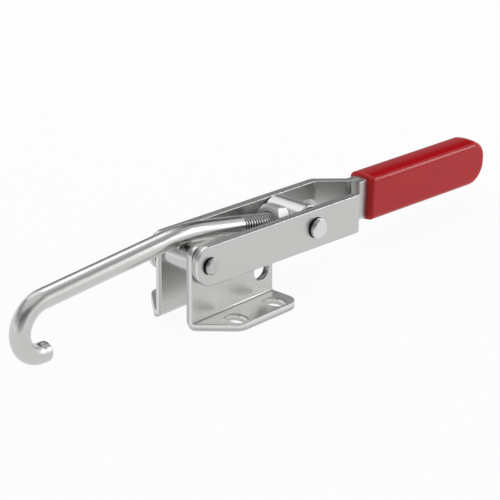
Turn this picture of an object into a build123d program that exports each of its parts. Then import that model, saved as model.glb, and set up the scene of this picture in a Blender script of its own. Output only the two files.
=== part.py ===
from build123d import *
from math import atan2, cos, degrees, hypot, radians, tan
import os

# Over centre toggle latch in millimetres. X runs from the hook to the grip and Z is up. The origin
# is midway between the two front slots, on the face that is bolted down. The near side is -Y.

# Base brackets, two stamped angles that mirror each other
bracket_sheet = 3.0
bracket_gap = 13.1
bracket_bend = 0.7
bracket_front = -15.25
bracket_rear = 30.6
bracket_rear_height = 22.0
bracket_rear_corner = 5.0
bracket_slope_end = 4.0
bracket_slope_round = 12.0
flange_front_width = 21.0
flange_front_round = 2.0
flange_oblique_end = -3.0
flange_oblique_round = 6.0
flange_rear_corner = 6.0
slot_spacing = 22.0
slot_span = 36.7
slot_width = 7.0
slot_length = 9.7
slot_land = 1.25
side_hole_x = 24.2
side_hole_height = 13.0
side_hole_diameter = 8.3

# Pivot pin and the sleeve on it
pivot_x = -9.0
pivot_height = 25.8
ear_above_pin = 7.4
ear_round = 3.8
pivot_pin_diameter = 6.5
pivot_pin_proud = 1.9
pin_chamfer = 0.5
sleeve_diameter = 10.0
sleeve_end_play = 0.1

# Fits: radial play of what turns and of what is pressed or riveted, and side play of the plates
running_play = 0.05
seat_play = 0.02
lever_side_play = 0.2

# Lever plates, drawn in the lever's own frame with its origin on the pivot pin
lever_tilt = 2.25
lever_sheet = 3.5
lever_bend = 1.5
lever_above_pin = 7.95
lever_below_pin = 8.35
lever_front = 6.55
lever_front_upper_round = 6.0
lever_front_lower_round = 8.0
lever_turn_in = 86.8
neck_start = 97.8
lever_end = 168.0
lever_end_corner = 4.0

# Grip sleeve over the joined ends of the plates
grip_start = 103.8
grip_end = 178.3
grip_width = 12.9
grip_upper_round = 7.6
grip_lower_round = 9.75
grip_between_rounds = 2.0
grip_crown = 0.8
grip_edge = 2.35
grip_mouth_edge = 1.2
grip_play = 0.05

# Rivets inside the grip, flush with the plates
rivet_places = {"front": 116.0, "rear": 152.0}
rivet_diameter = 5.0
rivet_head_diameter = 8.0
rivet_head_angle = 90.0

# Cross bar that carries the hook rod between the lever plates
bar_place = 61.1
bar_rise = 0.35
bar_diameter = 16.0
bar_side_play = 0.6
bar_pin_diameter = 8.0
bar_pin_proud = 2.5

# Hook rod, drawn from the cross bar forward. It clears the sleeve and turns down just ahead of it.
rod_diameter = 8.0
rod_tail = 15.0
rod_over_sleeve = 0.5
rod_turn = 14.45
rod_turn_radius = 85.0
rod_turn_ahead = 1.33
rod_outer_length = 74.2
hook_first_radius = 12.2
hook_first_turn = 60.0
hook_last_radius = 9.8
hook_last_turn = 115.0
hook_tip_length = 3.9
hook_tip_chamfer = 1.1
rod_end_chamfer = 0.8

# Hexagon nuts on the rod
nut_across_flats = 13.0
front_nut_height = 6.5
front_nut_turn = 30.0
rear_nut_height = 4.0
rear_nut_turn = 0.0

# Sizes that follow from the ones above
bracket_outer = bracket_gap / 2 + bracket_sheet
base_width = slot_span + slot_length + 2 * slot_land
lever_inner = bracket_outer + lever_side_play
lever_outer = lever_inner + lever_sheet
lever_height = lever_above_pin + lever_below_pin
lever_middle = (lever_above_pin - lever_below_pin) / 2
lever_place = Location((pivot_x, 0, pivot_height), (0, lever_tilt, 0))
rod_turn_bow = rod_turn_radius / cos(radians(rod_turn / 2)) - rod_turn_radius
rod_turn_height = (sleeve_diameter + rod_diameter) / 2 + rod_over_sleeve + rod_turn_bow
rod_rise = rod_turn_height - bar_rise
rod_reach = bar_place + rod_turn_ahead
rod_inner_length = hypot(rod_reach, rod_rise)
rod_slope = degrees(atan2(rod_rise, rod_reach))
rod_place = lever_place * Location((bar_place, 0, bar_rise), (0, rod_slope, 0))
slot_y = slot_span / 2
same_place = 0.001


def cross_cylinder(diameter, length):
    # round bar across the latch, centred on the origin
    return Rotation(90, 0, 0) * Cylinder(diameter / 2, length)


def bent_strip(points, thickness, inner_radius):
    # face of a sheet seen on edge: a middle line, offset to both sides and rounded at its bends
    sides = []
    for side in (1, -1):
        line = []
        radii = []
        for i, point in enumerate(points):
            here = Vector(*point)
            before = here - Vector(*points[i - 1]) if i else None
            after = Vector(*points[i + 1]) - here if i < len(points) - 1 else None
            first = (before or after).normalized()
            last = (after or before).normalized()
            half_turn = radians(first.get_angle(last)) / 2
            normal = Vector(-first.Y - last.Y, first.X + last.X).normalized()
            line.append(here + normal * (side * thickness / 2 / cos(half_turn)))
            turns_to_side = first.X * last.Y - first.Y * last.X
            inside = turns_to_side * side > 0
            bend = inner_radius if inside else inner_radius + thickness
            radii.append(bend if abs(turns_to_side) > 1e-6 else 0)
        sides.append((line, radii))
    outline = sides[0][0] + sides[1][0][::-1]
    rounds = sides[0][1] + sides[1][1][::-1]
    return make_face(FilletPolyline(*outline, radius=rounds, close=True))


def mirrored(part):
    return mirror(part, about=Plane.XZ)


def base_bracket():
    web = bracket_gap / 2 + bracket_sheet / 2
    top = pivot_height + ear_above_pin
    section = bent_strip(
        [(web, top), (web, bracket_sheet / 2), (base_width / 2, bracket_sheet / 2)],
        bracket_sheet, bracket_bend)
    length = bracket_rear - bracket_front
    angle = extrude(Plane.YZ.offset(bracket_front) * section, length)
    side = make_face(FilletPolyline(
        (bracket_front, 0), (bracket_rear, 0), (bracket_rear, bracket_rear_height),
        (bracket_slope_end, top), (bracket_front, top),
        radius=[0, 0, bracket_rear_corner, bracket_slope_round, ear_round], close=True))
    plan = make_face(FilletPolyline(
        (bracket_front, 0), (bracket_rear, 0), (bracket_rear, base_width / 2),
        (flange_oblique_end, base_width / 2), (bracket_front, flange_front_width / 2),
        radius=[0, 0, flange_rear_corner, flange_oblique_round, flange_front_round], close=True))
    bracket = angle & extrude(Plane.XZ * side, base_width, both=True) & extrude(plan, top)
    for x in (0, slot_spacing):
        slot = Pos(x, slot_y) * Rot(0, 0, 90) * SlotOverall(slot_length, slot_width)
        bracket -= extrude(slot, bracket_sheet * 3, both=True)
    bracket -= Pos(side_hole_x, 0, side_hole_height) * cross_cylinder(side_hole_diameter, base_width)
    pin_hole = pivot_pin_diameter + 2 * seat_play
    bracket -= Pos(pivot_x, 0, pivot_height) * cross_cylinder(pin_hole, base_width)
    return bracket


def pivot_pin():
    pin = cross_cylinder(pivot_pin_diameter, 2 * (lever_outer + pivot_pin_proud))
    pin = chamfer(pin.edges().filter_by(GeomType.CIRCLE), pin_chamfer)
    return Pos(pivot_x, 0, pivot_height) * pin


def spacer_sleeve():
    length = bracket_gap - 2 * sleeve_end_play
    bore = pivot_pin_diameter + 2 * running_play
    sleeve = cross_cylinder(sleeve_diameter, length) - cross_cylinder(bore, length)
    return Pos(pivot_x, 0, pivot_height) * sleeve


def lever_plate():
    spread = lever_inner + lever_sheet / 2
    strip = bent_strip(
        [(-lever_front, spread), (lever_turn_in, spread), (neck_start, lever_sheet / 2),
         (lever_end, lever_sheet / 2)], lever_sheet, lever_bend)
    plate = extrude(Plane.XY.offset(-lever_below_pin) * strip, lever_height)
    side = make_face(FilletPolyline(
        (-lever_front, -lever_below_pin), (lever_end, -lever_below_pin),
        (lever_end, lever_above_pin), (-lever_front, lever_above_pin),
        radius=[lever_front_lower_round, lever_end_corner, lever_end_corner,
                lever_front_upper_round], close=True))
    plate &= extrude(Plane.XZ * side, 2 * lever_outer, both=True)
    pin_hole = pivot_pin_diameter + 2 * running_play
    plate -= cross_cylinder(pin_hole, 4 * lever_outer)
    bar_hole = bar_pin_diameter + 2 * running_play
    plate -= Pos(bar_place, 0, bar_rise) * cross_cylinder(bar_hole, 4 * lever_outer)
    for place in rivet_places.values():
        plate -= Pos(place, 0, lever_middle) * rivet_body(seat_play)
    return plate


def rivet_body(play):
    # shank with a countersunk head in the outer face of each plate, grown by the play all round
    shank = rivet_diameter / 2 + play
    head = rivet_head_diameter / 2 + play
    head_start = lever_sheet - (head - shank) / tan(radians(rivet_head_angle / 2))
    half = Polyline((0, -lever_sheet), (head, -lever_sheet), (shank, -head_start),
                    (shank, head_start), (head, lever_sheet), (0, lever_sheet), close=True)
    return revolve(Plane.XY * make_face(half), Axis.Y)


def handle_rivet(place):
    return Pos(place, 0, lever_middle) * rivet_body(0)


def grip_outline(reach):
    # the grip's width, square at one end and with a crowned and rounded side at the other
    side = grip_width / 2
    crown = ThreePointArc((side, reach - grip_crown), (0, reach), (-side, reach - grip_crown))
    base = Polyline((-side, reach - grip_crown), (-side, 0), (side, 0), (side, reach - grip_crown))
    outline = make_face(Curve() + [crown, base])
    return fillet(outline.vertices().group_by(Axis.Y)[-1], grip_edge)


def grip_sleeve():
    # a level slab between an upper and a lower half, which turn over into the nose
    length = grip_end - grip_start
    level = Plane(origin=(grip_start, 0, grip_between_rounds / 2), x_dir=(0, 1, 0), z_dir=(0, 0, -1))
    grip = extrude(level * grip_outline(length), grip_between_rounds)
    for side, reach in ((1, grip_upper_round), (-1, grip_lower_round)):
        section = Plane.YZ * grip_outline(reach)
        half = Pos(grip_start, 0, 0) * extrude(section, length - reach)
        half += Pos(grip_end - reach, 0, 0) * revolve(section, Axis.Y, 90)
        half = Pos(0, 0, grip_between_rounds / 2) * half
        grip += half if side > 0 else mirror(half, about=Plane.XY)
    grip = Pos(0, 0, lever_middle + (grip_lower_round - grip_upper_round) / 2) * grip
    mouth = grip.faces().sort_by(Axis.X)[0]
    grip = fillet(mouth.edges(), grip_mouth_edge)
    cavity_length = lever_end - grip_start + grip_play
    cavity = Box(cavity_length, 2 * (lever_sheet + grip_play), lever_height + 2 * grip_play)
    cavity = fillet(cavity.edges().filter_by(Axis.Y).group_by(Axis.X)[-1], lever_end_corner)
    grip -= Pos(grip_start + cavity_length / 2, 0, lever_middle) * cavity
    return grip


def cross_bar():
    body = cross_cylinder(bar_diameter, 2 * (lever_inner - bar_side_play))
    body = chamfer(body.edges().filter_by(GeomType.CIRCLE), pin_chamfer)
    pins = cross_cylinder(bar_pin_diameter, 2 * (lever_outer + bar_pin_proud))
    pins = chamfer(pins.edges().filter_by(GeomType.CIRCLE), pin_chamfer)
    bar = Pos(bar_place, 0, bar_rise) * (body + pins)
    bore = Rotation(0, 90, 0) * Cylinder(rod_diameter / 2 + seat_play, 2 * bar_diameter)
    return lever_place * bar - rod_place * bore


def hook_rod():
    # the rod's middle line lies in the plane of the hook, with the cross bar at its origin
    bend_reach = rod_turn_radius * tan(radians(rod_turn) / 2)
    rear = Line((rod_tail, 0), (bend_reach - rod_inner_length, 0))
    over_pivot = JernArc(rear @ 1, (-1, 0), rod_turn_radius, rod_turn)
    forward = over_pivot % 1
    front = Line(over_pivot @ 1, over_pivot @ 1 + forward * (rod_outer_length - bend_reach))
    first = JernArc(front @ 1, forward, hook_first_radius, hook_first_turn)
    last = JernArc(first @ 1, first % 1, hook_last_radius, hook_last_turn)
    tip = Line(last @ 1, last @ 1 + (last % 1) * hook_tip_length)
    path = Plane.XZ * Wire([rear, over_pivot, front, first, last, tip])
    start = Plane(origin=path @ 0, z_dir=path % 0)
    rod = sweep(start * Circle(rod_diameter / 2), path=path)
    rear_rim = rod.edges().filter_by(GeomType.CIRCLE).sort_by(Axis.X)[-1]
    rod = chamfer(rear_rim, rod_end_chamfer)
    tip_rim = rod.edges().filter_by(GeomType.CIRCLE).sort_by_distance(path @ 1)[0]
    return rod_place * chamfer(tip_rim, hook_tip_chamfer)


def hexagon_nut(height):
    # standing on its lower face
    prism = extrude(RegularPolygon(nut_across_flats / 2, 6, major_radius=False), height)
    return prism - Cylinder(rod_diameter / 2 + seat_play, 3 * height)


def placed_nut(height, distance, turn):
    # on the rod with its front face at a distance behind the cross bar's axis; a turn of 0 sets
    # a corner upwards and a turn of 30 a flat
    upright = Rotation(0, 90, 0) * Rotation(0, 0, turn)
    return rod_place * Pos(distance, 0, 0) * upright * hexagon_nut(height)


far_bracket = base_bracket()
far_plate = lever_plate()
bar_radius = bar_diameter / 2 + seat_play
nodes = {
    "base_bracket_near": mirrored(far_bracket),
    "base_bracket_far": far_bracket,
    "pivot_pin": pivot_pin(),
    "spacer_sleeve": spacer_sleeve(),
    "lever_plate_near": lever_place * mirrored(far_plate),
    "lever_plate_far": lever_place * far_plate,
    "grip_sleeve": lever_place * grip_sleeve(),
    "cross_bar": cross_bar(),
    "hook_rod": hook_rod(),
    "front_nut": placed_nut(front_nut_height, -bar_radius - front_nut_height, front_nut_turn),
    "rear_nut": placed_nut(rear_nut_height, bar_radius, rear_nut_turn),
}
for name, place in rivet_places.items():
    nodes["handle_rivet_" + name] = lever_place * handle_rivet(place)

os.makedirs("parts", exist_ok=True)
for name, solid in nodes.items():
    export_step(solid, f"parts/{name}.step")
    size = solid.bounding_box()
    print(f"{name}: {solid.volume:.1f} mm3, X {size.min.X:.2f} to {size.max.X:.2f}, "
          f"Y {size.min.Y:.2f} to {size.max.Y:.2f}, Z {size.min.Z:.2f} to {size.max.Z:.2f}")
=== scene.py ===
from math import atan2, cos, pi, radians, sin, tan

import bmesh
import bpy
from mathutils import Matrix, Quaternion, Vector


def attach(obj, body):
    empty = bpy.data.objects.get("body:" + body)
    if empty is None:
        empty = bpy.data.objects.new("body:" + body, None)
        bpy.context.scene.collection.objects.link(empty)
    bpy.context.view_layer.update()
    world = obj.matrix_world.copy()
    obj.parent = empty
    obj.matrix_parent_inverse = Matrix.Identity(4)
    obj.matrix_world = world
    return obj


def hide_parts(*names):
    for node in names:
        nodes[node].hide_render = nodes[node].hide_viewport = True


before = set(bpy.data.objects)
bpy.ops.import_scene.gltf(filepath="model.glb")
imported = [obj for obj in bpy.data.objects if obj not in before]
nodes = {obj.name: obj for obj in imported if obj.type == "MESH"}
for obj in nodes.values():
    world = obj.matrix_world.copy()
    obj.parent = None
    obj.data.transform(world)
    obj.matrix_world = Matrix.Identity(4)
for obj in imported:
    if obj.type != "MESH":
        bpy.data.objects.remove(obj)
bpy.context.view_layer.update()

mm = 0.001


# Small helpers

def linearColour(hexText):
    # sRGB hex to the linear colour that shaders use
    channels = [int(hexText[i:i + 2], 16) / 255 for i in (1, 3, 5)]
    linear = [c / 12.92 if c <= 0.04045 else ((c + 0.055) / 1.055) ** 2.4 for c in channels]
    return (*linear, 1)


def perMetre(size):
    # texture scale at which a pattern's marks are this many millimetres wide
    return 1 / (size * mm)


def span(side, ends, unit=1):
    # both ends of one side of a Map Range node
    return {side + " Min": ends[0] * unit, side + " Max": ends[1] * unit}


def addNode(tree, kind, inputs=None, **settings):
    # one node: settings are its options, inputs are fixed values or sockets to link from
    node = tree.nodes.new(kind)
    for name, value in settings.items():
        setattr(node, name, value)
    for name, value in (inputs or {}).items():
        if isinstance(value, bpy.types.NodeSocket):
            tree.links.new(value, node.inputs[name])
        else:
            node.inputs[name].default_value = value
    return node


def newMaterial(name):
    material = bpy.data.materials.new(name)
    material.use_nodes = True
    material.node_tree.nodes.clear()
    return material, material.node_tree


def dress(piece, material):
    piece.data.materials.clear()
    piece.data.materials.append(material)


def newPiece(name, mesh, material):
    data = bpy.data.meshes.new(name)
    mesh.to_mesh(data)
    mesh.free()
    piece = bpy.data.objects.new(name, data)
    bpy.context.scene.collection.objects.link(piece)
    dress(piece, material)
    return piece


def edgesOf(verts):
    # the edges at these corners, each once and always in the same order
    return list(dict.fromkeys(edge for vert in verts for edge in vert.link_edges))


def extrudeRing(mesh, ring):
    # a further ring of edges on an open one, with its corners
    grown = bmesh.ops.extrude_edge_only(mesh, edges=ring)["geom"]
    verts = [item for item in grown if isinstance(item, bmesh.types.BMVert)]
    edges = [item for item in grown if isinstance(item, bmesh.types.BMEdge)
             and item.verts[0] in verts and item.verts[1] in verts]
    return verts, edges


# Camera, at the photograph's angle

cameraView = {
    "lens": 200.9,            # mm
    "sensor": 36,             # mm, for a square picture
    "distance": 1.1004,
    "target": (0.041, 0, 0.020),
    "turn": 47.67,            # degrees from straight in front of the near side
    "lift": 22.116,
    "roll": 0.229,
    "pictureSpot": (0.54496, 0.47106),    # where the target shows, as shares from the left and top
}


def makeCamera(view):
    turn, lift, roll = (radians(view[name]) for name in ("turn", "lift", "roll"))
    back = Vector((-sin(turn) * cos(lift), -cos(turn) * cos(lift), sin(lift)))
    level = Vector((cos(turn), -sin(turn), 0))
    upright = back.cross(level)
    right = cos(roll) * level + sin(roll) * upright
    up = cos(roll) * upright - sin(roll) * level
    reach = view["distance"] * view["sensor"] / view["lens"]
    across, down = view["pictureSpot"]
    place = Vector(view["target"]) + view["distance"] * back
    place += (0.5 - across) * reach * right + (down - 0.5) * reach * up
    data = bpy.data.cameras.new("camera")
    data.lens = view["lens"]
    data.sensor_width = view["sensor"]
    camera = bpy.data.objects.new("camera", data)
    facing = Matrix((right, up, back)).transposed().to_4x4()
    camera.matrix_world = Matrix.Translation(place) @ facing
    bpy.context.scene.collection.objects.link(camera)
    bpy.context.scene.camera = camera


makeCamera(cameraView)
print("camera made")


# Floor, room and lamps

studio = {
    "floorSize": 9.0,
    "floorColour": "#F6F6F6",
    "floorLift": 0.93,       # how much of the floor's white is its own, in pictures and reflections
    "roomStrength": 1.6,
    # brightness of the room by height, from the horizon to straight above
    "room": ((0.0, 0.72), (0.13, 0.72), (0.37, 0.47), (0.52, 0.29), (0.73, 0.24), (0.82, 0.5),
             (1.0, 0.56)),
    # screens: direction, cosines where each starts and is full, and what is left of the room there
    "screens": (
        ((-0.66, -0.62, 0.42), (0.72, 0.93), 0.48),     # grey, behind the photographer
        ((0.70, 0.66, 0.28), (0.91, 0.97), 0.22),       # black, low behind the latch
        ((0.735, 0.38, 0.56), (0.95, 0.985), 0.12),     # black, above the grip
        ((0.86, 0.0, 0.51), (0.95, 0.985), 1.6),        # white, beyond the grip
        ((0.66, -0.68, 0.32), (0.92, 0.98), 1.2),       # white, low in front on the right
    ),
    "lamps": (
        # name, place, size in metres, roll in degrees, watts
        ("softbox", (0.50, 0.80, 1.10), (1.2, 1.0), 0, 2.3),
        ("rodBox", (0.637, 0.357, 0.939), (0.55, 0.2), -23, 0.52),
        ("gripBox", (3.21, -2.0, 1.63), (0.28, 2.1), -29, 11.5),
        ("flangeBox", (0.69, -0.647, 0.398), (0.12, 0.3), 0, 0.34),
    ),
}


def makeFloor(setup):
    mesh = bmesh.new()
    bmesh.ops.create_grid(mesh, x_segments=1, y_segments=1, size=setup["floorSize"] / 2)
    material, tree = newMaterial("studioPaper")
    own = addNode(tree, "ShaderNodeEmission", {"Color": (1, 1, 1, 1), "Strength": 1.0})
    paper = addNode(tree, "ShaderNodeBsdfDiffuse", {"Color": linearColour(setup["floorColour"])})
    path = addNode(tree, "ShaderNodeLightPath")
    seen = addNode(tree, "ShaderNodeMath", {
        0: path.outputs["Is Camera Ray"], 1: path.outputs["Is Glossy Ray"]}, operation="MAXIMUM")
    seen = addNode(tree, "ShaderNodeMath", {
        0: seen.outputs[0], 1: path.outputs["Is Transmission Ray"]}, operation="MAXIMUM")
    share = addNode(tree, "ShaderNodeMath", {
        0: seen.outputs[0], 1: setup["floorLift"]}, operation="MULTIPLY")
    mix = addNode(tree, "ShaderNodeMixShader", {
        0: share.outputs[0], 1: paper.outputs[0], 2: own.outputs[0]})
    addNode(tree, "ShaderNodeOutputMaterial", {"Surface": mix.outputs[0]})
    floor = newPiece("floor", mesh, material)


def makeRoom(setup):
    world = bpy.data.worlds.new("room")
    bpy.context.scene.world = world
    world.use_nodes = True
    tree = world.node_tree
    tree.nodes.clear()
    where = addNode(tree, "ShaderNodeTexCoord")
    height = addNode(tree, "ShaderNodeSeparateXYZ", {0: where.outputs["Generated"]})
    ramp = addNode(tree, "ShaderNodeValToRGB", {0: height.outputs["Z"]})
    stops = ramp.color_ramp.elements
    while len(stops) < len(setup["room"]):
        stops.new(0.5)
    for stop, (place, grey) in zip(stops, setup["room"]):
        stop.position = place
        stop.color = (grey, grey, grey, 1)
    strength = setup["roomStrength"]
    for direction, edge, left in setup["screens"]:
        towards = addNode(tree, "ShaderNodeVectorMath", {
            0: where.outputs["Generated"], 1: Vector(direction).normalized()},
            operation="DOT_PRODUCT")
        screen = addNode(tree, "ShaderNodeMapRange", {
            "Value": towards.outputs["Value"], **span("From", edge), **span("To", (1.0, left))},
            interpolation_type="SMOOTHSTEP")
        strength = addNode(tree, "ShaderNodeMath", {
            0: screen.outputs[0], 1: strength}, operation="MULTIPLY").outputs[0]
    room = addNode(tree, "ShaderNodeBackground", {"Color": ramp.outputs[0], "Strength": strength})
    addNode(tree, "ShaderNodeOutputWorld", {"Surface": room.outputs[0]})


def makeLamps(setup):
    for name, place, size, roll, watts in setup["lamps"]:
        data = bpy.data.lights.new(name, "AREA")
        data.shape = "RECTANGLE"
        data.size, data.size_y = size
        data.energy = watts
        lamp = bpy.data.objects.new(name, data)
        lamp.location = place
        facing = (-Vector(place)).to_track_quat("-Z", "Y")
        lamp.rotation_euler = (facing @ Quaternion((0, 0, 1), radians(roll))).to_euler()
        bpy.context.scene.collection.objects.link(lamp)


bpy.context.scene.view_settings.view_transform = "Standard"
makeFloor(studio)
makeRoom(studio)
makeLamps(studio)
print("studio made")


# Stamped stainless sheet, for the brackets and the lever's plates. Sizes are in millimetres.

noiseSpan = span("From", (0.3, 0.7))     # where nearly all of a noise's values lie

sheetLook = {
    "face": ("#C7C7C6", "#C4C4C2"),      # bright annealed sheet, tumbled after stamping
    "sheared": "#D6D6D5",
    "torn": "#B7B7B5",
    # length and width of the rolling grain, which is a few hundredths of a millimetre wide and is
    # drawn at 0.5 mm so that it shows
    "grain": (16.7, 0.5),
    "grainRough": (0.3, 0.34),
    "grainBump": (0.03, 0.02),           # strength and height
    "clouds": 7.69,                      # size of the cloudy patches that tumbling leaves
    "tornFrom": (1.4, 1.7),              # depth into the sheet where the sheared band ends
    "bandRough": (0.26, 0.4),
    "cutBelow": (0.2, 0.45),             # flatness of a cut edge, and of a face
    "rimFrom": (0.02, 0.12),             # flatness times its lack, off a rounded rim and on it
    "rimRough": 0.26,
    "straightTo": 76.5,                  # along X, where the lever's plates begin to bend
}
bracketFaces = {
    "web": 9.55,                         # its outer face, from the middle of the latch
    "flange": 3.0,                       # height of its upper face
    "webFrom": 3.4,                      # height from which a surface is the web's
}
leverFaces = {
    "bends": (77.7, 88.7),               # along X
    "outer": (13.25, 3.5),               # its outer face before and after them, from the middle
}


def makeStampedSheet(name, look, depthOf, flatOf):
    # austenitic stainless sheet, blanked in a press and tumbled: an even satin grey with a faint
    # rolling grain along the sheet, and on its cut edges a smooth sheared band over a torn one
    material, tree = newMaterial(name)
    where = addNode(tree, "ShaderNodeTexCoord")
    length, width = (perMetre(size) for size in look["grain"])
    along = addNode(tree, "ShaderNodeMapping", {
        0: where.outputs["Object"], "Scale": (length, width, width)})
    grain = addNode(tree, "ShaderNodeTexNoise", {
        "Vector": along.outputs[0], "Scale": 1.0, "Detail": 3.0})
    clouds = addNode(tree, "ShaderNodeTexNoise", {
        "Vector": where.outputs["Object"], "Scale": perMetre(look["clouds"]), "Detail": 2.0})
    bright, dull = (linearColour(colour) for colour in look["face"])
    faceColour = addNode(tree, "ShaderNodeMix", {
        "Factor": clouds.outputs["Fac"], 6: bright, 7: dull}, data_type="RGBA")
    faceRough = addNode(tree, "ShaderNodeMapRange", {
        "Value": grain.outputs["Fac"], **noiseSpan, **span("To", look["grainRough"])})
    # the punch shears the sheet where it enters, and tears it below
    torn = addNode(tree, "ShaderNodeMapRange", {
        "Value": depthOf(tree, where), **span("From", look["tornFrom"], mm),
        **span("To", (0.0, 1.0))})
    bandColour = addNode(tree, "ShaderNodeMix", {
        "Factor": torn.outputs[0], 6: linearColour(look["sheared"]),
        7: linearColour(look["torn"])}, data_type="RGBA")
    bandRough = addNode(tree, "ShaderNodeMapRange", {
        "Value": torn.outputs[0], **span("To", look["bandRough"])})
    flat = flatOf(tree, where)
    cut = addNode(tree, "ShaderNodeMapRange", {
        "Value": flat, **span("From", look["cutBelow"]), **span("To", (1.0, 0.0))})
    colour = addNode(tree, "ShaderNodeMix", {
        "Factor": cut.outputs[0], 6: faceColour.outputs[2], 7: bandColour.outputs[2]},
        data_type="RGBA")
    rough = addNode(tree, "ShaderNodeMix", {
        "Factor": cut.outputs[0], 2: faceRough.outputs[0], 3: bandRough.outputs[0]},
        data_type="FLOAT")
    # tumbling polishes the rounded rims between face and cut edge
    lack = addNode(tree, "ShaderNodeMath", {0: 1.0, 1: flat}, operation="SUBTRACT")
    rim = addNode(tree, "ShaderNodeMath", {0: flat, 1: lack.outputs[0]}, operation="MULTIPLY")
    place = addNode(tree, "ShaderNodeSeparateXYZ", {0: where.outputs["Object"]})
    straight = addNode(tree, "ShaderNodeMath", {
        0: place.outputs["X"], 1: look["straightTo"] * mm}, operation="LESS_THAN")
    rim = addNode(tree, "ShaderNodeMath", {
        0: rim.outputs[0], 1: straight.outputs[0]}, operation="MULTIPLY")
    polish = addNode(tree, "ShaderNodeMapRange", {
        "Value": rim.outputs[0], **span("From", look["rimFrom"]), **span("To", (0.0, 1.0))})
    rough = addNode(tree, "ShaderNodeMix", {
        "Factor": polish.outputs[0], 2: rough.outputs[0], 3: look["rimRough"]},
        data_type="FLOAT")
    strength, height = look["grainBump"]
    bump = addNode(tree, "ShaderNodeBump", {
        "Height": grain.outputs["Fac"], "Strength": strength, "Distance": height * mm})
    steel = addNode(tree, "ShaderNodeBsdfPrincipled", {
        "Base Color": colour.outputs[2], "Metallic": 1.0, "Roughness": rough.outputs[0],
        "Normal": bump.outputs[0]})
    addNode(tree, "ShaderNodeOutputMaterial", {"Surface": steel.outputs[0]})
    return material


def bracketDepth(tree, where):
    # the near and far brackets mirror each other, so depth is taken from the web's outer face and
    # from the flange's upper face
    place = addNode(tree, "ShaderNodeSeparateXYZ", {0: where.outputs["Object"]})
    side = addNode(tree, "ShaderNodeMath", {0: place.outputs["Y"]}, operation="ABSOLUTE")
    web = addNode(tree, "ShaderNodeMath", {
        0: bracketFaces["web"] * mm, 1: side.outputs[0]}, operation="SUBTRACT")
    flange = addNode(tree, "ShaderNodeMath", {
        0: bracketFaces["flange"] * mm, 1: place.outputs["Z"]}, operation="SUBTRACT")
    depth = addNode(tree, "ShaderNodeMath", {
        0: web.outputs[0], 1: flange.outputs[0]}, operation="MAXIMUM")
    return depth.outputs[0]


def bracketFlat(tree, where):
    # how squarely a face looks out of the sheet: sideways on the web, up or down on the flange
    place = addNode(tree, "ShaderNodeSeparateXYZ", {0: where.outputs["Object"]})
    facing = addNode(tree, "ShaderNodeSeparateXYZ", {0: where.outputs["Normal"]})
    sideways = addNode(tree, "ShaderNodeMath", {0: facing.outputs["Y"]}, operation="ABSOLUTE")
    upright = addNode(tree, "ShaderNodeMath", {0: facing.outputs["Z"]}, operation="ABSOLUTE")
    onWeb = addNode(tree, "ShaderNodeMath", {
        0: place.outputs["Z"], 1: bracketFaces["webFrom"] * mm}, operation="GREATER_THAN")
    flat = addNode(tree, "ShaderNodeMix", {
        "Factor": onWeb.outputs[0], 2: upright.outputs[0], 3: sideways.outputs[0]},
        data_type="FLOAT")
    return flat.outputs[0]


def leverDepth(tree, where):
    # the plate's outer face steps inwards between its two bends
    place = addNode(tree, "ShaderNodeSeparateXYZ", {0: where.outputs["Object"]})
    side = addNode(tree, "ShaderNodeMath", {0: place.outputs["Y"]}, operation="ABSOLUTE")
    outer = addNode(tree, "ShaderNodeMapRange", {
        "Value": place.outputs["X"], **span("From", leverFaces["bends"], mm),
        **span("To", leverFaces["outer"], mm)})
    depth = addNode(tree, "ShaderNodeMath", {
        0: outer.outputs[0], 1: side.outputs[0]}, operation="SUBTRACT")
    return depth.outputs[0]


def leverFlat(tree, where):
    facing = addNode(tree, "ShaderNodeSeparateXYZ", {0: where.outputs["Normal"]})
    sideways = addNode(tree, "ShaderNodeMath", {0: facing.outputs["Y"]}, operation="ABSOLUTE")
    return sideways.outputs[0]


bracketSheet = makeStampedSheet("stampedBracketStainless", sheetLook, bracketDepth, bracketFlat)
leverSheet = makeStampedSheet("stampedLeverStainless", sheetLook, leverDepth, leverFlat)


# Turned, ground and pressed stainless, for the pins, the sleeve, the cross bar and the nuts

turnedMarks = {
    "rings": (6.67, 0.4),                # length and width: 0.1 mm apart, drawn at 0.4 mm
    "ringBump": (0.08, 0.02),            # strength and height
    "dents": 1.11,
    "dentHeight": 0.03,
    # painted shade: dark colour for the joint where the pins and the cross bar pass through the
    # lever's plates, standing in for the shadow in the gap round them
    "jointShadeColour": "#2C2A27",
    "jointShadeFrom": 9.4,                      # from the middle, just inside the lever's plate
    "jointShadeTo": (13.8, 14.5),               # where the painted shade fades out, beyond the plate
}
turnedLooks = {
    # colours in the hollows and on top, roughness, strength of the dents, painted shade in the
    # joint
    "turnedPinStainless": (("#A9A9A7", "#CFCFCE"), (0.24, 0.34), 0.25, True),
    "polishedSleeveStainless": (("#BFBFBE", "#CBCBCA"), (0.11, 0.15), 0.05, False),
    "groundBarStainless": (("#D5D5D4", "#DEDEDD"), (0.2, 0.26), 0.05, True),
    "pressedNutStainless": (("#CCCCCB", "#DADAD9"), (0.4, 0.46), 0.05, False),
}


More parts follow.
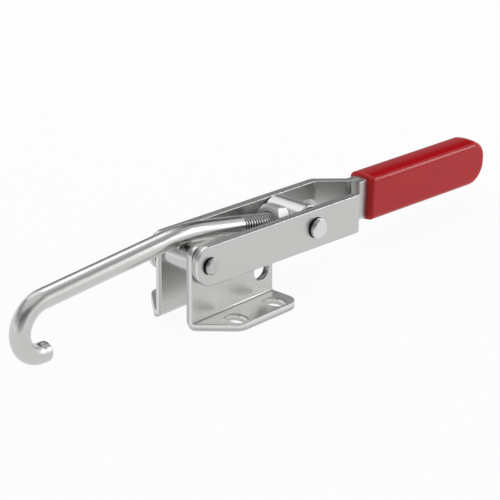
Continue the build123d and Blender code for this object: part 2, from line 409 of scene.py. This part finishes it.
def makeTurned(name, colours, roughness, dentStrength, paintsJointShade):
    # stainless bar, turned or pressed and then tumbled, with fine rings round the axis across the
    # latch, and on the pins and the cross bar a dark band of painted shade in the joint at the
    # lever's plates
    look = turnedMarks
    material, tree = newMaterial(name)
    where = addNode(tree, "ShaderNodeTexCoord")
    length, width = (perMetre(size) for size in look["rings"])
    across = addNode(tree, "ShaderNodeMapping", {
        0: where.outputs["Object"], "Scale": (length, width, length)})
    rings = addNode(tree, "ShaderNodeTexNoise", {
        "Vector": across.outputs[0], "Scale": 1.0, "Detail": 2.0})
    dents = addNode(tree, "ShaderNodeTexNoise", {
        "Vector": where.outputs["Object"], "Scale": perMetre(look["dents"]), "Detail": 3.0})
    rough = addNode(tree, "ShaderNodeMapRange", {
        "Value": dents.outputs["Fac"], **noiseSpan, **span("To", roughness)})
    strength, height = look["ringBump"]
    bump = addNode(tree, "ShaderNodeBump", {
        "Height": rings.outputs["Fac"], "Strength": strength, "Distance": height * mm})
    bump = addNode(tree, "ShaderNodeBump", {
        "Height": dents.outputs["Fac"], "Strength": dentStrength,
        "Distance": look["dentHeight"] * mm, "Normal": bump.outputs[0]})
    hollow, top = (linearColour(colour) for colour in colours)
    colour = addNode(tree, "ShaderNodeMix", {
        "Factor": dents.outputs["Fac"], 6: hollow, 7: top}, data_type="RGBA")
    # painted shade: darkens the pins and the cross bar from just inside the lever's plate to just
    # beyond it, where the gap round them lies in shadow
    if paintsJointShade:
        place = addNode(tree, "ShaderNodeSeparateXYZ", {0: where.outputs["Object"]})
        side = addNode(tree, "ShaderNodeMath", {0: place.outputs["Y"]}, operation="ABSOLUTE")
        jointShade = addNode(tree, "ShaderNodeMapRange", {
            "Value": side.outputs[0], **span("From", look["jointShadeTo"], mm),
            **span("To", (1.0, 0.0))})
        joint = addNode(tree, "ShaderNodeMath", {
            0: side.outputs[0], 1: look["jointShadeFrom"] * mm}, operation="GREATER_THAN")
        jointShade = addNode(tree, "ShaderNodeMath", {
            0: jointShade.outputs[0], 1: joint.outputs[0]}, operation="MULTIPLY")
        colour = addNode(tree, "ShaderNodeMix", {
            "Factor": jointShade.outputs[0], 6: colour.outputs[2], 7: linearColour(look["jointShadeColour"])},
            data_type="RGBA")
    steel = addNode(tree, "ShaderNodeBsdfPrincipled", {
        "Base Color": colour.outputs[2], "Metallic": 1.0, "Roughness": rough.outputs[0],
        "Normal": bump.outputs[0]})
    addNode(tree, "ShaderNodeOutputMaterial", {"Surface": steel.outputs[0]})
    return material


turned = {name: makeTurned(name, *look) for name, look in turnedLooks.items()}


# Drawn stainless rod, for the hook

rodLook = {
    "colours": ("#CBCBCA", "#C3C3C1"),
    "dieLines": (40.0, 0.4),             # length and spacing: hair fine, drawn 0.4 mm apart
    "rough": (0.2, 0.24),
    "lineBump": (0.06, 0.02),            # strength and height
    "waves": 6.25,
    "waveBump": (0.08, 0.2),
    "dents": 2.38,
    "dentBump": (0.05, 0.12),
    "dentsFrom": (105, 116),             # along the rod from its thread, where the hook begins
    # painted shade colour for the roots of the thread's grooves
    "grooveShade": "#45433F",
    "grooveShadeBelow": (3.35, 3.75),         # radius where it is full and where it ends
}


def makeDrawnRod(look):
    # bright drawn stainless rod, cold bent: nearly a mirror, with faint die lines along its length
    material, tree = newMaterial("drawnStainlessRod")
    straight = addNode(tree, "ShaderNodeAttribute", attribute_name="unbent")
    length, width = (perMetre(size) for size in look["dieLines"])
    along = addNode(tree, "ShaderNodeMapping", {
        0: straight.outputs["Vector"], "Scale": (length, width, width)})
    lines = addNode(tree, "ShaderNodeTexNoise", {
        "Vector": along.outputs[0], "Scale": 1.0, "Detail": 2.0})
    waves = addNode(tree, "ShaderNodeTexNoise", {
        "Vector": straight.outputs["Vector"], "Scale": perMetre(look["waves"]), "Detail": 1.0})
    rough = addNode(tree, "ShaderNodeMapRange", {
        "Value": lines.outputs["Fac"], **noiseSpan, **span("To", look["rough"])})
    # the bending tool has left shallow dents in the hook
    place = addNode(tree, "ShaderNodeSeparateXYZ", {0: straight.outputs["Vector"]})
    bent = addNode(tree, "ShaderNodeMapRange", {
        "Value": place.outputs["X"], **span("From", look["dentsFrom"], mm),
        **span("To", (0.0, 1.0))})
    dents = addNode(tree, "ShaderNodeTexNoise", {
        "Vector": straight.outputs["Vector"], "Scale": perMetre(look["dents"]), "Detail": 2.0})
    dents = addNode(tree, "ShaderNodeMath", {
        0: dents.outputs["Fac"], 1: bent.outputs[0]}, operation="MULTIPLY")
    strength, height = look["lineBump"]
    bump = addNode(tree, "ShaderNodeBump", {
        "Height": lines.outputs["Fac"], "Strength": strength, "Distance": height * mm})
    for marks, name in ((waves, "waveBump"), (dents, "dentBump")):
        strength, height = look[name]
        bump = addNode(tree, "ShaderNodeBump", {
            "Height": marks.outputs[0], "Strength": strength, "Distance": height * mm,
            "Normal": bump.outputs[0]})
    bright, dull = (linearColour(colour) for colour in look["colours"])
    colour = addNode(tree, "ShaderNodeMix", {
        "Factor": waves.outputs["Fac"], 6: bright, 7: dull}, data_type="RGBA")
    # painted shade: the grooves of the thread are darkened towards their roots
    reach = addNode(tree, "ShaderNodeCombineXYZ", {
        "Y": place.outputs["Y"], "Z": place.outputs["Z"]})
    reach = addNode(tree, "ShaderNodeVectorMath", {0: reach.outputs[0]}, operation="LENGTH")
    grooveShade = addNode(tree, "ShaderNodeMapRange", {
        "Value": reach.outputs["Value"], **span("From", look["grooveShadeBelow"], mm),
        **span("To", (1.0, 0.0))})
    colour = addNode(tree, "ShaderNodeMix", {
        "Factor": grooveShade.outputs[0], 6: colour.outputs[2], 7: linearColour(look["grooveShade"])},
        data_type="RGBA")
    steel = addNode(tree, "ShaderNodeBsdfPrincipled", {
        "Base Color": colour.outputs[2], "Metallic": 1.0, "Roughness": rough.outputs[0],
        "Normal": bump.outputs[0]})
    addNode(tree, "ShaderNodeOutputMaterial", {"Surface": steel.outputs[0]})
    return material


drawnRod = makeDrawnRod(rodLook)


# Dipped vinyl, for the grip

vinylLook = {
    "colours": ("#C20E19", "#B80B16"),
    "rough": (0.12, 0.17),
    "ior": 1.38,                         # matched to the photo, below the 1.5 of real PVC
    "waves": 11.1,
    "waveBump": (0.2, 0.3),              # strength and height
    "skin": 1.0,                         # its pimples are 0.3 mm wide, drawn at 1 mm
    "skinBump": (0.02, 0.05),
}


def makeDippedVinyl(look):
    # soft PVC, dip moulded: an even red with a wet gloss and slow waves where the melt has run
    material, tree = newMaterial("dippedRedVinyl")
    where = addNode(tree, "ShaderNodeTexCoord")
    waves = addNode(tree, "ShaderNodeTexNoise", {
        "Vector": where.outputs["Object"], "Scale": perMetre(look["waves"]), "Detail": 1.0})
    skin = addNode(tree, "ShaderNodeTexNoise", {
        "Vector": where.outputs["Object"], "Scale": perMetre(look["skin"]), "Detail": 2.0})
    light, dark = (linearColour(colour) for colour in look["colours"])
    colour = addNode(tree, "ShaderNodeMix", {
        "Factor": waves.outputs["Fac"], 6: light, 7: dark}, data_type="RGBA")
    rough = addNode(tree, "ShaderNodeMapRange", {
        "Value": skin.outputs["Fac"], **noiseSpan, **span("To", look["rough"])})
    strength, height = look["waveBump"]
    bump = addNode(tree, "ShaderNodeBump", {
        "Height": waves.outputs["Fac"], "Strength": strength, "Distance": height * mm})
    strength, height = look["skinBump"]
    bump = addNode(tree, "ShaderNodeBump", {
        "Height": skin.outputs["Fac"], "Strength": strength, "Distance": height * mm,
        "Normal": bump.outputs[0]})
    vinyl = addNode(tree, "ShaderNodeBsdfPrincipled", {
        "Base Color": colour.outputs[2], "Roughness": rough.outputs[0], "IOR": look["ior"],
        "Normal": bump.outputs[0]})
    addNode(tree, "ShaderNodeOutputMaterial", {"Surface": vinyl.outputs[0]})
    return material


dippedVinyl = makeDippedVinyl(vinylLook)
print("materials made")


# Hook rod with its real thread. Sizes are in millimetres along the rod's middle line, measured from
# the cross bar's axis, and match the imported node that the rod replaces.

rodSizes = {
    "place": (0.052067, 0, 0.023751),
    "slope": 11.2,            # degrees that the threaded end drops away from the hook
    "radius": 4.0,
    "sides": 48,
    "threadStart": -31.5,
    "tail": 15.0,
    "tailChamfer": 0.8,
    # as the photo shows it, coarser than the 1.25 mm of a standard thread of this size
    "pitch": 1.5,
    "crestRadius": 3.94,
    "rootRadius": 3.1,
    "crestWidth": 0.3,
    "rootWidth": 0.3,
    "turnSteps": 32,
    "leadIn": 2,              # turns wound before its start, which are trimmed off again
    "spareTurns": 4,
    "buried": 0.5,            # turns that stay hidden in the shank
    "merge": 0.002,
    "bendStart": -52.424,
    "bend": (85.0, 14.45, 10),     # radius, degrees and steps of each bend
    "outerLength": 63.424,
    "firstBend": (12.2, 60.0, 20),
    "lastBend": (9.8, 115.0, 36),
    "tipLength": 3.9,
    "tipRound": (1.4, 6),     # radius and steps
    "smoothBelow": 25,        # degrees between faces that shade as one
}


def growRing(mesh, ring, layer, state, move):
    # carries the open ring of edges on by one step and notes how far along the unbent rod it is
    verts, ring = extrudeRing(mesh, ring)
    move(verts)
    for vert in verts:
        vert[layer] = Vector((state["run"], *vert[layer][1:]))
    return ring


def runStraight(mesh, ring, layer, state, length):
    step = state["ahead"] * length
    state["run"] += length
    state["place"] += step
    return growRing(mesh, ring, layer, state, lambda verts: bmesh.ops.translate(
        mesh, verts=verts, vec=step))


def runBend(mesh, ring, layer, state, radius, turn, steps):
    # turns towards the inside of the hook
    inward = Vector((-state["ahead"].z, 0, state["ahead"].x))
    centre = state["place"] + inward * radius * mm
    tilt = Matrix.Rotation(-radians(turn / steps), 3, "Y")
    for _ in range(steps):
        state["run"] += radius * mm * radians(turn / steps)
        ring = growRing(mesh, ring, layer, state, lambda verts: bmesh.ops.rotate(
            mesh, verts=verts, cent=centre, matrix=tilt))
        state["ahead"] = tilt @ state["ahead"]
        state["place"] = centre + tilt @ (state["place"] - centre)
    return ring


def makeShank(mesh, layer, sizes):
    # starts inside the thread with a chamfer, and runs from there to the rounded tip of the hook
    start = sizes["threadStart"] * mm
    shoulder = (sizes["radius"] - sizes["rootRadius"]) * mm
    across = Matrix.Translation((start + shoulder, 0, 0)) @ Matrix.Rotation(pi / 2, 4, "Y")
    first = bmesh.ops.create_circle(mesh, segments=sizes["sides"],
                                    radius=sizes["rootRadius"] * mm, matrix=across)["verts"]
    for vert in first:
        vert[layer] = vert.co
    ring = edgesOf(first)
    bmesh.ops.contextual_create(mesh, geom=ring)
    state = {"place": Vector((start + shoulder, 0, 0)), "ahead": Vector((-1, 0, 0)), "run": 0.0}
    ring = runStraight(mesh, ring, layer, state, shoulder)
    rim = list(dict.fromkeys(vert for edge in ring for vert in edge.verts))
    wider = sizes["radius"] / sizes["rootRadius"]
    bmesh.ops.scale(mesh, verts=rim, vec=(1, wider, wider),
                    space=Matrix.Translation(-state["place"]))
    for vert in rim:
        vert[layer] = Vector((state["run"], vert.co.y, vert.co.z))
    ring = runStraight(mesh, ring, layer, state, start - sizes["bendStart"] * mm)
    ring = runBend(mesh, ring, layer, state, *sizes["bend"])
    ring = runStraight(mesh, ring, layer, state, sizes["outerLength"] * mm)
    ring = runBend(mesh, ring, layer, state, *sizes["firstBend"])
    ring = runBend(mesh, ring, layer, state, *sizes["lastBend"])
    ring = runStraight(mesh, ring, layer, state, sizes["tipLength"] * mm)
    bmesh.ops.contextual_create(mesh, geom=ring)
    tipRadius, tipSteps = sizes["tipRound"]
    bmesh.ops.bevel(mesh, geom=ring, offset=tipRadius * mm, offset_type="OFFSET",
                    segments=tipSteps, profile=0.5, affect="EDGES", material=-1)


def makeThread(mesh, layer, sizes):
    # one pitch of the thread's profile, wound round the rod and cut off square at both ends
    thread = bmesh.new()
    pitch, root, crest = (sizes[name] * mm for name in ("pitch", "rootRadius", "crestRadius"))
    flank = (sizes["pitch"] - sizes["crestWidth"] - sizes["rootWidth"]) / 2 * mm
    rootEnd = sizes["rootWidth"] * mm
    crestEnd = rootEnd + flank + sizes["crestWidth"] * mm
    start, tail = sizes["threadStart"] * mm, sizes["tail"] * mm
    begin = start - sizes["leadIn"] * pitch
    profile = [(0, root), (rootEnd, root), (rootEnd + flank, crest), (crestEnd, crest),
               (pitch, root)]
    points = [thread.verts.new((begin + x, 0, radius)) for x, radius in profile]
    edges = [thread.edges.new(pair) for pair in zip(points, points[1:])]
    turns = int((sizes["tail"] - sizes["threadStart"]) / sizes["pitch"]) + sizes["spareTurns"]
    steps = sizes["turnSteps"]
    bmesh.ops.spin(thread, geom=points + edges, cent=(0, 0, 0), axis=(1, 0, 0),
                   dvec=(pitch / steps, 0, 0), angle=2 * pi * turns, steps=steps * turns)
    bmesh.ops.remove_doubles(thread, verts=thread.verts, dist=sizes["merge"] * mm)
    # trim both ends, then taper the last turn at the tail
    for x, outward in ((start - sizes["buried"] * pitch, -1), (tail, 1)):
        cut = bmesh.ops.bisect_plane(
            thread, geom=thread.verts[:] + thread.edges[:] + thread.faces[:],
            plane_co=(x, 0, 0), plane_no=(outward, 0, 0), clear_outer=True)
        rim = [item for item in cut["geom_cut"] if isinstance(item, bmesh.types.BMEdge)]
        bmesh.ops.triangle_fill(thread, edges=rim, use_beauty=True)
    chamferStart = tail - sizes["tailChamfer"] * mm
    for vert in thread.verts:
        reach = (vert.co.y ** 2 + vert.co.z ** 2) ** 0.5
        most = crest - max(0, vert.co.x - chamferStart)
        if reach > most:
            vert.co.y *= most / reach
            vert.co.z *= most / reach
    # join it to the shank's mesh
    shape = bpy.data.meshes.new("threadShape")
    thread.to_mesh(shape)
    thread.free()
    before = set(mesh.verts)
    mesh.from_mesh(shape)
    bpy.data.meshes.remove(shape)
    for vert in mesh.verts:
        if vert not in before:
            vert[layer] = vert.co


def placeOnRod(mesh, sizes):
    # from the rod's own line along X to its place in the cross bar, with smooth curved faces
    for face in mesh.faces:
        face.smooth = True
    for edge in mesh.edges:
        edge.smooth = edge.calc_face_angle(0) < radians(sizes["smoothBelow"])
    tilt = Matrix.Rotation(radians(sizes["slope"]), 3, "Y")
    bmesh.ops.rotate(mesh, verts=mesh.verts, cent=(0, 0, 0), matrix=tilt)
    bmesh.ops.translate(mesh, verts=mesh.verts, vec=sizes["place"])


def makeHookRod(sizes):
    mesh = bmesh.new()
    layer = mesh.verts.layers.float_vector.new("unbent")
    makeShank(mesh, layer, sizes)
    makeThread(mesh, layer, sizes)
    bmesh.ops.recalc_face_normals(mesh, faces=mesh.faces)
    placeOnRod(mesh, sizes)
    rod = newPiece("threadedHookRod", mesh, drawnRod)
    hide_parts("hook_rod")
    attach(rod, "hook")


makeHookRod(rodSizes)
print("hook rod made")


# Hexagon nuts with chamfered corners, on the rod at the cross bar. Sizes are in millimetres.

nutSizes = {
    "acrossFlats": 13.0,
    "faceShare": 0.95,        # the round face left by the chamfers, as a share of the width
    "chamferAngle": 30.0,
    "bore": 4.0,              # radius, just clear of the thread
    "mouth": 4.45,
    "steps": 72,
    "cornerAngle": 50,        # degrees between faces, above which an edge is one of the corners
    "cornerRound": (0.15, 2),      # radius and steps
    # name, node that it replaces, height, distance of its front face from the bar's axis, turn
    "nuts": (
        ("chamferedFrontNut", "front_nut", 6.5, -14.52, 30.0),
        ("chamferedRearNut", "rear_nut", 4.0, 8.02, 0.0),
    ),
}


def makeNut(sizes, name, node, height, distance, turn):
    # the bore's ring grows into mouth, face, chamfer and flats, and on the far side back again
    mesh = bmesh.new()
    flat = sizes["acrossFlats"] / 2
    face = flat * sizes["faceShare"]
    bore, mouth = sizes["bore"], sizes["mouth"]
    depth = mouth - bore
    slope = tan(radians(sizes["chamferAngle"]))
    stages = (
        lambda corner: (depth, bore),
        lambda corner: (0, mouth),
        lambda corner: (0, face),
        lambda corner: ((corner - face) * slope, corner),
        lambda corner: (height - (corner - face) * slope, corner),
        lambda corner: (height, face),
        lambda corner: (height, mouth),
        lambda corner: (height - depth, bore),
    )

    def shapeRing(verts, stage):
        for vert in verts:
            angle = atan2(vert.co.y, vert.co.z)
            fromFlat = (angle - radians(turn)) % (pi / 3) - pi / 6
            along, reach = stage(flat / cos(fromFlat))
            vert.co = Vector((distance + along, reach * sin(angle), reach * cos(angle))) * mm

    first = bmesh.ops.create_circle(mesh, segments=sizes["steps"], radius=bore * mm,
                                    matrix=Matrix.Rotation(pi / 2, 4, "Y"))["verts"]
    shapeRing(first, stages[0])
    start = ring = edgesOf(first)
    for stage in stages[1:]:
        verts, ring = extrudeRing(mesh, ring)
        shapeRing(verts, stage)
    bmesh.ops.bridge_loops(mesh, edges=start + ring)
    bmesh.ops.recalc_face_normals(mesh, faces=mesh.faces)
    corners = [edge for edge in mesh.edges
               if edge.calc_face_angle(0) > radians(sizes["cornerAngle"])
               and abs(edge.verts[0].co.x - edge.verts[1].co.x) > height * mm / 2]
    cornerRadius, cornerSteps = sizes["cornerRound"]
    bmesh.ops.bevel(mesh, geom=corners, offset=cornerRadius * mm, offset_type="OFFSET",
                    segments=cornerSteps, profile=0.5, affect="EDGES", material=-1)
    placeOnRod(mesh, rodSizes)
    nut = newPiece(name, mesh, turned["pressedNutStainless"])
    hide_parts(node)
    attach(nut, "hook")


for nut in nutSizes["nuts"]:
    makeNut(nutSizes, *nut)
print("nuts made")


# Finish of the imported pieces

finishes = {
    "base_bracket_near": bracketSheet,
    "base_bracket_far": bracketSheet,
    "lever_plate_near": leverSheet,
    "lever_plate_far": leverSheet,
    "grip_sleeve": dippedVinyl,
    "pivot_pin": turned["turnedPinStainless"],
    "handle_rivet_front": turned["turnedPinStainless"],
    "handle_rivet_rear": turned["turnedPinStainless"],
    "spacer_sleeve": turned["polishedSleeveStainless"],
    "cross_bar": turned["groundBarStainless"],
}
rimSizes = {
    "radius": 0.35,           # mm
    "steps": 3,
    "sharp": 40,              # degrees between faces, above which an edge is a rim
    "merge": 0.001,           # mm
    "flat": 1,                # degrees between triangles that are joined to one face
}


def softenRims(piece, sizes):
    # tumbling rounds every stamped rim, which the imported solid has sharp
    piece.modifiers.new("join", "WELD").merge_threshold = sizes["merge"] * mm
    flat = piece.modifiers.new("flat", "DECIMATE")
    flat.decimate_type = "DISSOLVE"
    flat.angle_limit = radians(sizes["flat"])
    rims = piece.modifiers.new("rims", "BEVEL")
    rims.width = sizes["radius"] * mm
    rims.segments = sizes["steps"]
    rims.limit_method = "ANGLE"
    rims.angle_limit = radians(sizes["sharp"])
    rims.use_clamp_overlap = False
    rims.harden_normals = True


for name, material in finishes.items():
    dress(nodes[name], material)
    if material in (bracketSheet, leverSheet):
        softenRims(nodes[name], rimSizes)
print("packed pieces dressed")
